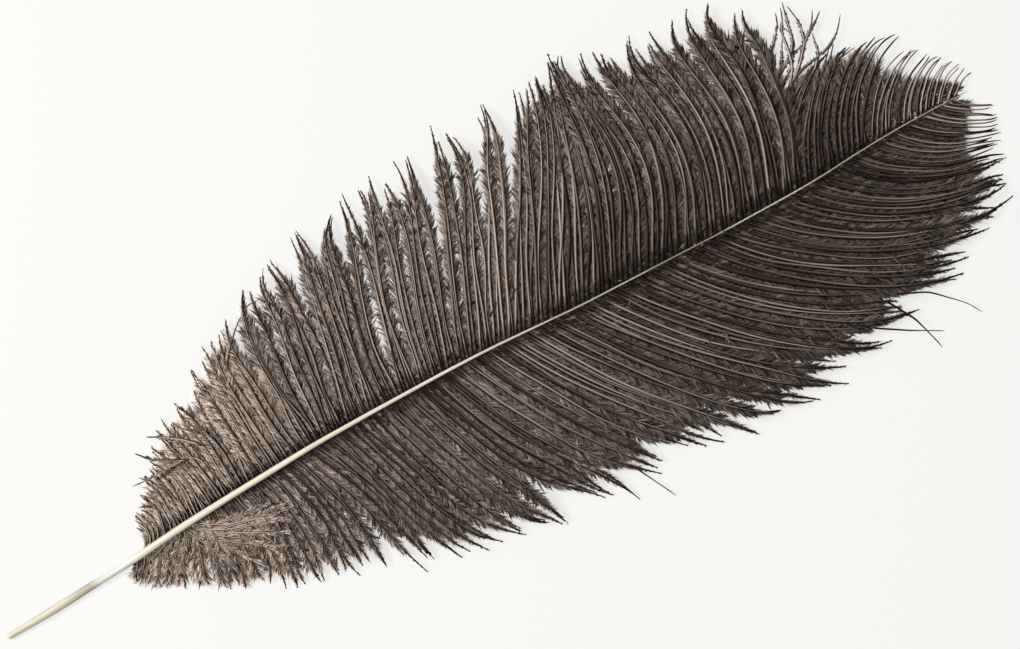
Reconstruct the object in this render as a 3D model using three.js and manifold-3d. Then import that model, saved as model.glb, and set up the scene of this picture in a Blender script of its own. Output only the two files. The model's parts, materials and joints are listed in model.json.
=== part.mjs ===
// An ostrich plume lying on a flat surface, as one solid: a bare quill that runs on as the shaft,
// and on each side of the shaft a vane of soft locks, each lock a bundle of barbs that grow from it.
//
// Millimetres, +Z up. The plan is laid out from the quill's end: x runs to the feather's tip and y to
// the left vane. At the end the solid is moved so that the origin is the middle of its footprint, on
// the surface that it lies on.
import * as THREE from "three";
import { mergeGeometries, mergeVertices } from "three/addons/utils/BufferGeometryUtils.js";
import Module from "manifold-3d";

// ---------------------------------------------------------------- driving dimensions

// The shaft seen from above: [x, y] of its centre line.
const SHAFT_LINE = [
  [0, 0], [45, 0.7], [68, 3.6], [90, 5.6], [113, 7.0], [135, 7.9], [180, 8.3], [225, 7.6],
  [270, 5.4], [315, 3.6], [360, 2.3], [405, 2.5], [450, 4.5], [497, 4.5],
];
// The shaft's width at x, from the blunt quill to the hair-thin tip.
const SHAFT_WIDTH = [
  [0, 2.4], [3, 3.3], [15, 4.0], [50, 3.9], [70, 3.5], [135, 2.9], [180, 2.6], [225, 2.3],
  [270, 1.6], [330, 1.2], [497, 0.8],
];
// How high the shaft's underside is carried at x. The bare quill lies flat, and the vanes prop the rest.
const SHAFT_LIFT = [
  [0, 0], [44, 0], [75, 1.2], [120, 4.5], [180, 8.5], [240, 10], [320, 9], [400, 6], [460, 3], [497, 1.6],
];
const SHAFT_DEPTH_SHARE = 0.95; // the shaft's height as a share of its width
const SHAFT_SIDES = 10;
const SHAFT_STEPS = 30;
const QUILL_FLAT_END = 44; // the underside is level from the quill's end to here

// How a barb runs: [x of its root on the shaft, its length, then its heading in degrees at the root,
// at one third, at two thirds and at the tip]. Heading 0 points to the feather's tip and 90 to the left.
const LEFT_BARBS = [
  [73, 23, 45, 75, 100, 115], [90, 33, 80, 88, 100, 110], [112, 44, 88, 98, 106, 112],
  [135, 58, 88, 92, 92, 85], [158, 71, 95, 95, 86, 80], [180, 84, 85, 76, 82, 80],
  [202, 90, 88, 78, 74, 76], [225, 93, 84, 72, 72, 100], [243, 96, 74, 66, 70, 100],
  [266, 100, 64, 62, 66, 90], [288, 112, 66, 62, 66, 76], [315, 110, 70, 70, 90, 62],
  [338, 106, 68, 72, 100, 62], [360, 99, 72, 76, 98, 66], [382, 98, 72, 78, 100, 60],
  [400, 88, 72, 78, 102, 62], [413, 78, 72, 75, 94, 66],
];
// The left vane parts near the tip: these barbs sweep forward from under the ones above.
const LEFT_TIP_BARBS = [
  [398, 72, 70, 55, 38, 15], [417, 66, 70, 60, 44, 26], [428, 67, 75, 58, 36, 8],
  [450, 46, 68, 50, 32, 12], [468, 34, 70, 48, 28, 10], [482, 22, 60, 45, 28, 15],
  [493, 11, 40, 30, 20, 10],
];
const RIGHT_BARBS = [
  [68, 10, -110, -125, -140, -150], [79, 20, -100, -120, -130, -138], [90, 26, -100, -112, -116, -110],
  [101, 35, -92, -98, -102, -105], [115, 41, -86, -90, -95, -98], [128, 50, -75, -84, -95, -102],
  [144, 58, -66, -80, -90, -92], [158, 73, -60, -70, -78, -86], [180, 86, -66, -72, -70, -52],
  [202, 90, -70, -70, -66, -54], [225, 97, -66, -64, -58, -52], [248, 98, -58, -58, -56, -54],
  [270, 104, -50, -52, -52, -48], [292, 116, -45, -46, -45, -38], [315, 117, -46, -45, -40, -30],
  [338, 116, -45, -41, -34, -24], [360, 118, -44, -37, -30, -21], [382, 112, -42, -34, -25, -17],
  [405, 101, -40, -30, -20, -16], [428, 79, -44, -30, -18, -9], [450, 55, -50, -34, -22, -16],
  [472, 38, -50, -38, -26, -16], [490, 17, -45, -36, -30, -25],
];

// Each stretch of vane: its barbs, the side of the shaft that they grow on, and its number of locks.
const VANES = [
  { barbs: LEFT_BARBS, side: 1, locks: 25 },
  { barbs: LEFT_TIP_BARBS, side: 1, locks: 6 },
  { barbs: RIGHT_BARBS, side: -1, locks: 30 },
];
const LOCK_STEPS = 10; // lengths that a lock is made in
const PARTS_FROM = 4; // locks part from their neighbours at one of the steps from here
const PARTS_TO = 8; // to here
const LOCK_TIP_SHARE = 0.1; // the tip's width as a share of the lock's
const LOCK_LENGTH_SPREAD = 0.16; // a lock's free end is longer or shorter by up to this share
const LOCK_LEAN_SPREAD = 9; // degrees by which a lock's tip leans either way
const LOCK_ROOT_TUCK = 0.3; // how far past the shaft's centre line a lock starts
const LOCK_ROOT_DEPTH = 1.0; // a lock's thickness at the shaft
const LOCK_SWELL = 3.6; // what its middle gains over that on the way out, on a long lock
const LONG_LOCK = 60;
const LOCK_EDGE_DEPTH = 1.0; // its edges' thickness
const LOCK_TIP_DEPTH = 0.9;
const ARCH_SHARE = 0.055; // how high a lock arches between shaft and tip, as a share of its length
const TIP_LIFT = 1.2; // the most that a lock's tip is held off the surface

const HORN_BROWN = 0x54463c;

// ---------------------------------------------------------------- curves

// The value at x of a table of [x, value] rows, straight between rows.
function readTable(rows, x, column = 1) {
  const last = rows.length - 1;
  if (x <= rows[0][0]) return rows[0][column];
  if (x >= rows[last][0]) return rows[last][column];
  const i = rows.findIndex((row) => row[0] > x) - 1;
  const share = (x - rows[i][0]) / (rows[i + 1][0] - rows[i][0]);
  return rows[i][column] + share * (rows[i + 1][column] - rows[i][column]);
}

const smooth = (share) => share * share * (3 - 2 * share);

// The same number from 0 to 1 for the same seed on every machine.
function scatter(seed) {
  const turned = Math.sin(seed * 12.9898) * 43758.5453;
  return turned - Math.floor(turned);
}

// The cubic through four values at 0, 1/3, 2/3 and 1.
function throughFour([a, b, c, d], t) {
  const [p, q, r] = [3 * t - 1, 3 * t - 2, 3 * t - 3];
  return (-a * p * q * r) / 6 + (b * 3 * t * q * r) / 2 - (c * 3 * t * p * r) / 2 + (d * 3 * t * p * q) / 6;
}

const shaftHeight = (x) =>
  readTable(SHAFT_LIFT, x) + (readTable(SHAFT_WIDTH, x) * SHAFT_DEPTH_SHARE) / 2;

// How far t is along the stretch where a lock runs free, which starts at a step, eased from 0 to 1.
function freeShare(t, from = PARTS_FROM) {
  const start = from / LOCK_STEPS;
  return smooth(Math.max(0, (t - start) / (1 - start)));
}

// The way of the barb that grows from the shaft at root, as points at equal steps to its tip. It arches
// from the shaft over to the surface. Its free end can be stretched, lean aside and be held up.
function barbPath({ barbs, side }, root, { stretch = 0, lean = 0, lift = 0 } = {}) {
  const length = readTable(barbs, root);
  const headings = [2, 3, 4, 5].map((column) => readTable(barbs, root, column));
  const start = shaftHeight(root);
  const end = LOCK_TIP_DEPTH / 2 + lift;
  const fine = 6; // short moves in each step
  let x = root;
  let y = readTable(SHAFT_LINE, root) - side * LOCK_ROOT_TUCK;
  const points = [[x, y, start]];
  for (let move = 0; move < LOCK_STEPS * fine; move++) {
    const t = (move + 0.5) / (LOCK_STEPS * fine);
    const heading = THREE.MathUtils.degToRad(throughFour(headings, t) + lean * freeShare(t));
    const stride = (length * (1 + stretch * freeShare(t))) / (LOCK_STEPS * fine);
    x += Math.cos(heading) * stride;
    y += Math.sin(heading) * stride;
    if ((move + 1) % fine > 0) continue;
    const at = (move + 1) / (LOCK_STEPS * fine);
    const arch = 4 * ARCH_SHARE * length * at * (1 - at);
    points.push([x, y, start + (end - start) * at * at + arch]);
  }
  return points;
}

// ---------------------------------------------------------------- meshes

// A mesh from rings of points, each ring with the same number of points, with flat end caps. The bands
// that open names, by ring and side, are left out.
function loft(rings, open = () => false) {
  const sides = rings[0].length;
  const index = [];
  for (let ring = 0; ring + 1 < rings.length; ring++) {
    for (let side = 0; side < sides; side++) {
      if (open(ring, side)) continue;
      const a = ring * sides + side;
      const b = ring * sides + ((side + 1) % sides);
      index.push(a, b, b + sides, a, b + sides, a + sides);
    }
  }
  const end = (rings.length - 1) * sides;
  for (let side = 1; side + 1 < sides; side++) {
    index.push(0, side + 1, side);
    index.push(end, end + side, end + side + 1);
  }
  const geometry = new THREE.BufferGeometry();
  geometry.setAttribute("position", new THREE.Float32BufferAttribute(rings.flat(2), 3));
  geometry.setIndex(index);
  return geometry;
}

// The quill and shaft: rings of a polygon with one level side underneath, upright across the line.
function shaftGeometry() {
  const tip = SHAFT_LINE.at(-1)[0];
  const rings = [];
  const stops = [0, 3, 15, 30, QUILL_FLAT_END];
  for (let step = 1; step <= SHAFT_STEPS; step++) {
    stops.push(QUILL_FLAT_END + ((tip - QUILL_FLAT_END) * step) / SHAFT_STEPS);
  }
  const flatReach = Math.cos(Math.PI / SHAFT_SIDES); // from the centre to a side, as a share of the radius
  for (const x of stops) {
    const y = readTable(SHAFT_LINE, x);
    const radius = readTable(SHAFT_WIDTH, x) / 2;
    const middle = readTable(SHAFT_LIFT, x) + radius * SHAFT_DEPTH_SHARE * flatReach;
    rings.push(
      Array.from({ length: SHAFT_SIDES }, (_, side) => {
        const angle = ((side + 0.5) / SHAFT_SIDES) * 2 * Math.PI - Math.PI / 2;
        return [x, y + radius * Math.cos(angle), middle + radius * SHAFT_DEPTH_SHARE * Math.sin(angle)];
      }),
    );
  }
  return loft(rings);
}

const toward = (from, to, share) => from.map((value, axis) => value + (to[axis] - value) * share);
const raised = ([x, y, z], by) => [x, y, Math.max(z, LOCK_TIP_DEPTH / 2) + by];

// One lock as a blade along its middle path: full where it touches its neighbours, and drawn in from
// its two borders to a point past the steps where it parts from them. Its walls to the neighbours are
// open up to those steps.
function lockGeometry(middle, borders, partSteps, isLong) {
  const rings = middle.map((point, step) => {
    const t = step / LOCK_STEPS;
    const [near, far] = borders.map((border, which) => {
      const drawn = freeShare(t, partSteps[which]) * (1 - LOCK_TIP_SHARE);
      return toward(border[step], point, drawn);
    });
    const swell = LOCK_SWELL * isLong * Math.sin(Math.PI * Math.sqrt(t));
    const half = (LOCK_ROOT_DEPTH * (1 - t) + LOCK_TIP_DEPTH * t + swell) / 2;
    const edge = Math.min(LOCK_EDGE_DEPTH, LOCK_TIP_DEPTH) / 2;
    const down = Math.min(half, Math.max(point[2], LOCK_TIP_DEPTH / 2));
    return [
      raised(near, -edge), raised(point, -down), raised(far, -edge),
      raised(far, edge), raised(point, half), raised(near, edge),
    ];
  });
  const [FAR_WALL, NEAR_WALL] = [2, 5];
  return loft(rings, (ring, side) => {
    return (side === NEAR_WALL && ring < partSteps[0]) || (side === FAR_WALL && ring < partSteps[1]);
  });
}

// One stretch of vane as a closed sheet of locks side by side.
function vaneGeometry(vane) {
  const { barbs, side, locks } = vane;
  const first = barbs[0][0];
  const share = (barbs.at(-1)[0] - first) / locks;
  const borders = [];
  const partSteps = [];
  for (let number = 0; number <= locks; number++) {
    const root = first + share * number;
    const isEnd = number === 0 || number === locks;
    borders.push(barbPath(vane, root));
    partSteps.push(isEnd ? 0 : Math.round(PARTS_FROM + (PARTS_TO - PARTS_FROM) * scatter(root * side)));
  }
  const blades = [];
  for (let number = 0; number < locks; number++) {
    const root = first + share * (number + 0.5);
    const seed = root * side;
    const middle = barbPath(vane, root, {
      stretch: LOCK_LENGTH_SPREAD * (2 * scatter(seed) - 1),
      lean: LOCK_LEAN_SPREAD * (2 * scatter(seed + 0.3) - 1),
      lift: TIP_LIFT * scatter(seed + 0.7),
    });
    const pair = [borders[number], borders[number + 1]];
    const parts = [partSteps[number], partSteps[number + 1]];
    blades.push(lockGeometry(middle, pair, parts, Math.min(1, readTable(barbs, root) / LONG_LOCK)));
  }
  return mergeGeometries(blades);
}

// ---------------------------------------------------------------- the solid

const wasm = await Module();
wasm.setup();

// A closed geometry as a manifold-3d solid, with its faces pointing out.
function solidOf(geometry) {
  const merged = mergeVertices(geometry, 1e-4);
  const make = (triVerts) =>
    new wasm.Manifold(
      new wasm.Mesh({ numProp: 3, vertProperties: merged.attributes.position.array, triVerts }),
    );
  const solid = make(new Uint32Array(merged.index.array));
  return solid.volume() > 0 ? solid : make(new Uint32Array(merged.index.array).reverse());
}

function geometryOf(solid) {
  const mesh = solid.getMesh();
  const geometry = new THREE.BufferGeometry();
  geometry.setAttribute("position", new THREE.BufferAttribute(mesh.vertProperties, 3));
  geometry.setIndex(new THREE.BufferAttribute(mesh.triVerts, 1));
  return geometry;
}

// The shaft and the vanes as one solid, lying on z = 0 with the middle of its footprint at the origin.
function featherGeometry() {
  const pieces = [shaftGeometry(), ...VANES.map(vaneGeometry)];
  const box = new THREE.Box3();
  for (const piece of pieces) {
    piece.computeBoundingBox();
    box.union(piece.boundingBox);
  }
  const middle = box.getCenter(new THREE.Vector3());
  const solids = pieces.map((piece) => solidOf(piece.translate(-middle.x, -middle.y, -box.min.z)));
  return geometryOf(solids.reduce((joined, solid) => joined.add(solid)));
}

const feather = new THREE.Mesh(
  featherGeometry(),
  new THREE.MeshStandardMaterial({ color: HORN_BROWN, roughness: 0.85, metalness: 0 }),
);
feather.name = "ostrich_feather";

const plume = new THREE.Group();
plume.add(feather);

export default plume;
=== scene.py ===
"""An ostrich plume: a horn shaft with two vanes of loose, downy barbs."""

import json

import bpy
import numpy as np
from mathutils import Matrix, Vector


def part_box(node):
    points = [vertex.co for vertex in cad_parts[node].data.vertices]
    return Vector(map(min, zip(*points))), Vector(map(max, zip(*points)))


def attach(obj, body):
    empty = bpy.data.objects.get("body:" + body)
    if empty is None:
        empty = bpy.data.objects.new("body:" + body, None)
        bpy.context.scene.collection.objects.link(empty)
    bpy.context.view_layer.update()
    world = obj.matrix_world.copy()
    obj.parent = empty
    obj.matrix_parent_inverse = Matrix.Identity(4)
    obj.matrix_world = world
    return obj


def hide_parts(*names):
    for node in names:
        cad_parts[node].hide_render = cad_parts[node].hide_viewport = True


bl_info = {
    "name": "Ostrich Plume",
    "version": (1, 0, 0),
    "blender": (4, 5, 0),
    "location": "View3D > Sidebar > Plume",
    "description": "Grows the shaft, barbs and down of an ostrich plume around its packed solid",
    "category": "Add Mesh",
}

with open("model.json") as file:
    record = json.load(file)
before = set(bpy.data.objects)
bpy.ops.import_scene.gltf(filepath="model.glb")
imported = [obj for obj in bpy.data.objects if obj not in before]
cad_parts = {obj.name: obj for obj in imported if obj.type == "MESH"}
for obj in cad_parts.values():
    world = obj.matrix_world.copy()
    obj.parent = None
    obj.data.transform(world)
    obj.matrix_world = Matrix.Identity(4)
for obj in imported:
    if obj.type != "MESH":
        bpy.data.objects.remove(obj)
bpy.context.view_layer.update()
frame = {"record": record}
NODE = "ostrich_feather"
MM = 0.001
UV_NAME = "OFBake"

# ------------------------------------------------------------------ the plume's plan, in millimetres

# x runs from the quill's end to the tip and y to the left vane. The shaft from above, [x, y].
SHAFT_LINE = [
    (0, -0.5), (16, 0.0), (29, 0.5), (45, 1.5), (58, 1.9), (67, 2.5), (81, 3.8), (95, 4.9), (122, 6.4),
    (148, 7.5), (165, 8.2), (195, 8.3), (230, 8.1), (252, 7.5), (270, 6.4), (297, 4.6), (324, 3.8),
    (351, 3.1), (367, 2.5), (405, 2.3), (420, 2.6), (440, 4.0), (460, 4.7), (475, 4.7), (497, 4.2),
]
SHAFT_WIDTH = [
    (0, 2.9), (4, 3.1), (16, 3.7), (25, 4.0), (36, 3.9), (45, 3.7), (52, 3.3), (60, 3.2), (68, 3.6),
    (81, 3.5), (95, 3.4), (108, 3.1), (122, 2.9), (148, 2.7), (162, 2.4), (176, 2.1), (203, 1.8),
    (230, 1.5), (257, 1.2), (280, 0.95), (330, 0.8), (400, 0.85), (440, 0.75), (480, 0.6), (497, 0.35),
]
SHAFT_LIFT = [
    (0, 0), (44, 0), (75, 1.2), (120, 4.5), (180, 8.5), (240, 10), (320, 9), (400, 6), (460, 3),
    (497, 1.6),
]
SHAFT_DEPTH_SHARE = 0.95
LINE_EASE, LIFT_EASE = 6.0, 9.0  # how far to each side the shaft's line and its lift are averaged

# The shaft's outline at both ends, [x, radius]: from the pit in the quill's cut end over its rounded
# rim, and to a point at the tip.
QUILL_END = [
    (1.6, 0.02), (1.2, 0.4), (0.5, 0.62), (0.05, 0.8), (0.0, 1.0), (0.2, 1.25), (0.8, 1.42), (1.8, 1.49),
]
SHAFT_TIP = [(495.5, 0.12), (497.0, 0.01)]
SHAFT_SIDES = 24

# The shaft's radius waves by this share, with this many crests round it, and along it by one radian in
# this many millimetres.
WAVE_SHARE, WAVE_CRESTS, WAVE_RADIAN = 0.012, 3, 7.3

# How a barb runs: (x of its root on the shaft, its length, then its heading in degrees at the root,
# at one third, at two thirds and at the tip). Heading 0 points to the tip and 90 to the left.
LEFT_BARBS = [
    (73, 13, 40, 65, 92, 108), (90, 27, 76, 86, 98, 108), (112, 42, 88, 98, 106, 112),
    (135, 60, 88, 92, 92, 85), (158, 74, 95, 95, 86, 80), (180, 87, 85, 76, 82, 80),
    (202, 94, 88, 78, 74, 76), (225, 100, 84, 72, 72, 96), (243, 107, 74, 66, 70, 92),
    (266, 109, 64, 62, 66, 86), (288, 114, 66, 62, 66, 76), (315, 110, 70, 70, 90, 62),
    (338, 106, 68, 72, 100, 62), (360, 99, 72, 76, 98, 66), (382, 104, 72, 78, 97, 58),
    (400, 99, 72, 77, 92, 58), (413, 90, 71, 73, 84, 58),
]
LEFT_TIP_BARBS = [
    (398, 68, 70, 55, 38, 15), (417, 63, 70, 60, 44, 26), (428, 68, 75, 58, 36, 8),
    (450, 49, 68, 50, 32, 12), (468, 34, 70, 48, 28, 10), (482, 22, 60, 45, 28, 15),
    (493, 11, 40, 30, 20, 10),
]
RIGHT_BARBS = [
    (68, 10, -110, -125, -140, -150), (79, 20, -100, -120, -130, -138), (90, 26, -100, -112, -116, -110),
    (101, 38, -92, -98, -102, -105), (115, 45, -86, -90, -95, -98), (128, 54, -75, -84, -95, -102),
    (144, 63, -66, -80, -90, -92), (158, 73, -60, -70, -78, -86), (180, 89, -74, -74, -69, -46),
    (202, 94, -76, -72, -64, -47), (225, 101, -71, -65, -57, -45), (248, 102, -65, -60, -54, -46),
    (270, 114, -61, -55, -47, -38), (292, 124, -57, -50, -42, -29), (315, 124, -56, -47, -36, -24),
    (338, 122, -56, -43, -30, -18), (360, 118, -55, -39, -26, -14), (382, 112, -53, -36, -21, -10),
    (405, 101, -51, -33, -17, -9), (428, 79, -54, -33, -15, -5), (450, 55, -56, -36, -20, -13),
    (472, 38, -50, -38, -26, -16), (490, 17, -45, -36, -30, -25),
]
ARCH_SHARE = 0.055  # how high a barb arches between shaft and tip, as a share of its length

# Barbs that fan out backwards below the quill.
FAN_BARBS = [
    (76, 5, -110, -130, -150, -160), (84, 15, -120, -158, -172, -178), (89, 20, -115, -146, -156, -160),
    (93, 27, -108, -132, -140, -142), (98, 28, -98, -112, -122, -126), (104, 29, -88, -96, -104, -108),
]

# A pale tuft that lies across the right vane's foot, loose barbs where the left vane parts, and stray
# hairs: the height of each at its first and last point, then the points [x, y] that it passes.
TUFT_LINES = [
    (5.0, 11, [(96, 2), (103, -3), (122, -7), (141, -9)]),
    (5.0, 11, [(95, 3), (102, -3), (117, -7), (135, -10), (142, -12)]),
    (5.0, 11, [(97, 2), (104, -5), (118, -12), (130, -19), (137, -22)]),
    (5.0, 10, [(96, 2), (104, -6), (114, -13), (123, -22), (127, -28)]),
    (5.0, 9, [(94, 3), (99, -4), (107, -14), (114, -24), (119, -31)]),
    (5.5, 11, [(98, 2), (108, -2), (120, -4), (134, -5)]),
    (5.0, 8, [(93, 3), (97, -5), (102, -16), (106, -26)]),
    (5.5, 11, [(97, 2), (107, -5), (121, -10), (138, -15)]),
    (5.0, 10, [(95, 2), (101, -6), (110, -13), (118, -18), (132, -27)]),
    (5.5, 11, [(99, 3), (110, -4), (127, -9), (139, -18)]),
]
LOOSE_LINES = [
    (8.5, 7.0, [(116, 22), (115, 27), (111, 31), (101, 31), (92, 30.5), (82, 31.5)]),
    (9.0, 5.0, [(118, 33), (112, 39), (105, 44), (98, 48)]),
    (8.5, 5.0, [(110, 30), (103, 33), (95, 38), (90, 44)]),
    (6.0, 2.5, [(422, 39), (428, 45), (436, 51), (443, 59), (448, 63), (451, 66), (453, 70)]),
    (5.0, 2.5, [(430, 46), (437, 52), (443, 59), (445, 66), (445, 71), (444, 77)]),
    (4.0, 2.5, [(436, 52), (443, 59), (449, 63), (452, 65), (456, 68)]),
    (5.0, 2.5, [(436, 42), (442, 47), (446, 52), (447, 56), (448, 61)]),
    (6.0, 2.5, [(422, 42), (427, 45), (436, 49), (449, 51), (456, 54), (460, 58), (463, 62)]),
    (6.0, 2.5, [(434, 34), (445, 41), (452, 50), (454, 52)]),
    (6.0, 2.5, [(430, 34), (438, 40), (446, 46), (451, 51)]),
    (6.0, 2.5, [(428, 34), (440, 41), (452, 45), (461, 46)]),
    (5.0, 2.5, [(435, 57), (439, 63), (440, 68), (441, 72), (443, 80)]),
    (5.0, 2.5, [(420, 50), (424, 58), (431, 66), (436, 71), (438, 77)]),
    (6.0, 2.5, [(426, 43), (433, 52), (435, 60), (436, 68), (440, 74), (441, 78)]),
    (6.0, 2.5, [(418, 40), (424, 46), (433, 53), (438, 60), (440, 65), (437, 71)]),
    (6.0, 2.5, [(416, 40), (420, 45), (429, 55), (434, 64), (436, 66)]),
    (5.0, 2.5, [(421, 47), (428, 53), (434, 56), (443, 59)]),
]
STRAY_LINES = [
    (9.0, 1.5, [(418, -60), (426, -74), (430, -88), (430.5, -91)]),
    (9.0, 1.5, [(424, -60), (437, -66), (450, -79), (454, -86)]),
    (8.5, 1.5, [(270, -55), (283, -70), (292, -88), (293.5, -91)]),
    (14.0, 14.5, [(259, 20), (270, 27), (281, 38), (290, 45)]),
    (9.0, 4.0, [(140, 50), (149, 63), (158, 72), (167, 78), (173, 77)]),
    (8.0, 1.5, [(407, -68), (421, -77), (435, -85)]),
]

# Along a vane, [x of the root, then these traits]: the distance from barb to barb, how many barbs cling
# together, how many make a lock, where along the barbs the wisps draw together and how strongly, where
# the down ends, how long it is beside the longest, how wide the stems are, how pale the painted
# highlight on their lit side is, how far that painted highlight reaches across, how much the barbs waver
# and how closely a lock draws together. Distances and widths are in millimetres.
TRAITS = (
    "root", "gap", "cling", "lock", "wisp_from", "wisp_pull", "down_end", "down_length",
    "stem", "lit", "highlight_breadth", "waver", "draw",
)
LEFT_TRAITS = [
    (73, 1.7, 1.1, 3, 0.55, 0.5, 0.84, 0.80, 1.00, 1.05, 0.5, 1.6, 0.3),
    (120, 1.8, 1.2, 4, 0.60, 0.6, 0.90, 0.95, 1.20, 1.00, 0.45, 1.5, 0.35),
    (158, 1.9, 1.4, 5, 0.70, 0.6, 0.92, 1.00, 1.25, 0.90, 0.4, 1.2, 0.4),
    (190, 1.8, 1.5, 4, 0.72, 0.6, 0.92, 0.82, 1.30, 0.85, 0.35, 1.1, 0.65),
    (215, 1.8, 1.5, 5, 0.70, 0.6, 0.90, 0.72, 1.30, 0.88, 0.4, 1.0, 0.8),
    (255, 2.0, 1.4, 5, 0.70, 0.6, 0.92, 0.74, 1.35, 0.90, 0.45, 1.0, 0.75),
    (285, 2.3, 1.2, 5, 0.60, 0.6, 0.95, 0.92, 1.55, 0.76, 0.52, 1.0, 0.5),
    (340, 2.5, 1.1, 5, 0.60, 0.6, 0.95, 0.95, 1.65, 0.71, 0.54, 0.9, 0.45),
    (413, 2.6, 1.1, 4, 0.60, 0.6, 0.94, 0.95, 1.60, 0.78, 0.54, 0.7, 0.45),
]
LEFT_TIP_TRAITS = [
    (398, 2.5, 1.1, 3, 0.60, 0.6, 0.86, 1.00, 1.40, 0.66, 0.45, 0.5, 0.3),
    (428, 2.5, 1.1, 3, 0.60, 0.6, 0.80, 0.95, 1.40, 0.64, 0.45, 0.5, 0.3),
    (450, 2.4, 1.1, 2, 0.60, 0.5, 0.64, 0.85, 1.25, 0.78, 0.5, 0.5, 0.2),
    (470, 2.2, 1.1, 2, 0.60, 0.4, 0.50, 0.75, 1.10, 0.92, 0.55, 0.5, 0.1),
    (493, 2.0, 1.1, 2, 0.60, 0.3, 0.35, 0.60, 0.95, 1.05, 0.6, 0.5, 0.1),
]
RIGHT_TRAITS = [
    (68, 1.7, 1.1, 3, 0.60, 0.4, 0.90, 0.80, 0.85, 1.05, 0.6, 1.4, 0.3),
    (120, 1.9, 1.3, 3, 0.65, 0.7, 0.88, 0.95, 1.15, 0.98, 0.4, 1.2, 0.5),
    (160, 1.9, 1.5, 3, 0.60, 0.85, 0.86, 0.85, 1.40, 0.90, 0.35, 1.0, 0.6),
    (200, 2.0, 1.5, 4, 0.62, 0.85, 0.88, 0.88, 1.50, 0.92, 0.35, 0.9, 0.6),
    (235, 2.2, 1.4, 4, 0.66, 0.8, 0.91, 0.95, 1.70, 0.88, 0.48, 0.8, 0.5),
    (275, 2.4, 1.2, 4, 0.70, 0.7, 0.95, 1.00, 1.85, 0.84, 0.55, 0.7, 0.4),
    (310, 2.6, 1.1, 5, 0.75, 0.7, 0.96, 1.05, 1.95, 0.82, 0.57, 0.6, 0.35),
    (360, 2.7, 1.1, 4, 0.75, 0.7, 0.94, 1.05, 1.95, 0.73, 0.57, 0.6, 0.35),
    (430, 2.6, 1.1, 4, 0.75, 0.6, 0.82, 1.00, 1.70, 0.63, 0.55, 0.5, 0.35),
    (460, 2.4, 1.1, 3, 0.75, 0.5, 0.62, 0.80, 1.40, 0.80, 0.55, 0.5, 0.2),
    (490, 2.1, 1.1, 2, 0.70, 0.4, 0.38, 0.60, 1.00, 1.05, 0.6, 0.5, 0.1),
]
FAN_TRAITS = [(89, 2.1, 1.1, 3, 0.6, 0.0, 0.75, 0.48, 0.75, 1.20, 0.6, 1.5, 0.2)]
TUFT_TRAITS = [(0, 1, 1, 1, 0, 0, 0.96, 0.45, 0.75, 1.10, 0.7, 0, 0)]
LOOSE_TRAITS = [(0, 1, 1, 1, 0, 0, 0.92, 0.25, 1.05, 0.90, 0.7, 0, 0)]
STRAY_TRAITS = [(0, 1, 1, 1, 0, 0, 0.30, 0.12, 0.90, 0.55, 0.5, 0, 0)]

# Where the wisps of a vane end, [x, y].
LEFT_WISPS = [
    (76, 23), (81, 28), (86, 34), (91, 38), (97, 44), (103, 50), (107, 53), (111, 52), (116, 55),
    (121, 61), (126, 64), (130, 64), (137, 65), (141, 72), (146, 72), (152, 76), (157, 77), (161, 84),
    (164, 86), (169, 85), (173, 90), (177, 91), (182, 90), (185, 84), (192, 88), (198, 95), (202, 96),
    (205, 96), (210, 95), (213, 91), (218, 92), (222, 93), (226, 99), (230, 97), (234, 98), (241, 98),
    (245, 101), (250, 100), (254, 101), (260, 98), (263, 103), (267, 97), (273, 103), (277, 106),
    (280, 99), (287, 98), (290, 97), (295, 102), (302, 97), (304, 101), (312, 108), (320, 106),
    (326, 111), (330, 111), (335, 106), (340, 111), (344, 108), (352, 108), (360, 110), (366, 107),
    (374, 100), (385, 100), (386, 94), (399, 97), (403, 95), (408, 90), (414, 91), (418, 85), (425, 84),
    (430, 81), (435, 74), (438, 77), (442, 80),
]
LEFT_TIP_WISPS = [
    (453, 50), (457, 47), (461, 46), (468, 45), (475, 44), (481, 41), (478, 36), (485, 32), (488, 27),
    (492, 23), (495, 19), (499, 14), (501, 9), (504, 4),
]
RIGHT_WISPS = [
    (63, -5), (67, -12), (72, -15), (76, -18), (80, -23), (86, -24), (92, -25), (99, -29), (103, -34),
    (108, -32), (113, -38), (120, -42), (124, -43), (130, -47), (136, -48), (141, -52), (145, -56),
    (149, -54), (153, -56), (158, -59), (165, -59), (172, -58), (180, -70), (185, -68), (190, -74),
    (196, -72), (203, -70), (212, -77), (217, -72), (221, -80), (227, -74), (232, -77), (240, -77),
    (245, -80), (254, -72), (262, -78), (268, -78), (278, -86), (285, -86), (295, -80), (300, -79),
    (310, -78), (323, -86), (324, -89), (342, -88), (346, -81), (356, -84), (369, -85), (370, -80),
    (388, -87), (392, -79), (399, -75), (407, -71), (412, -78), (420, -70), (434, -72), (441, -66),
    (450, -66), (461, -58), (468, -64), (475, -53), (482, -50), (491, -46), (493, -42), (496, -37),
    (497, -31), (502, -24), (500, -19), (503, -13), (504, -6),
]

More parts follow.
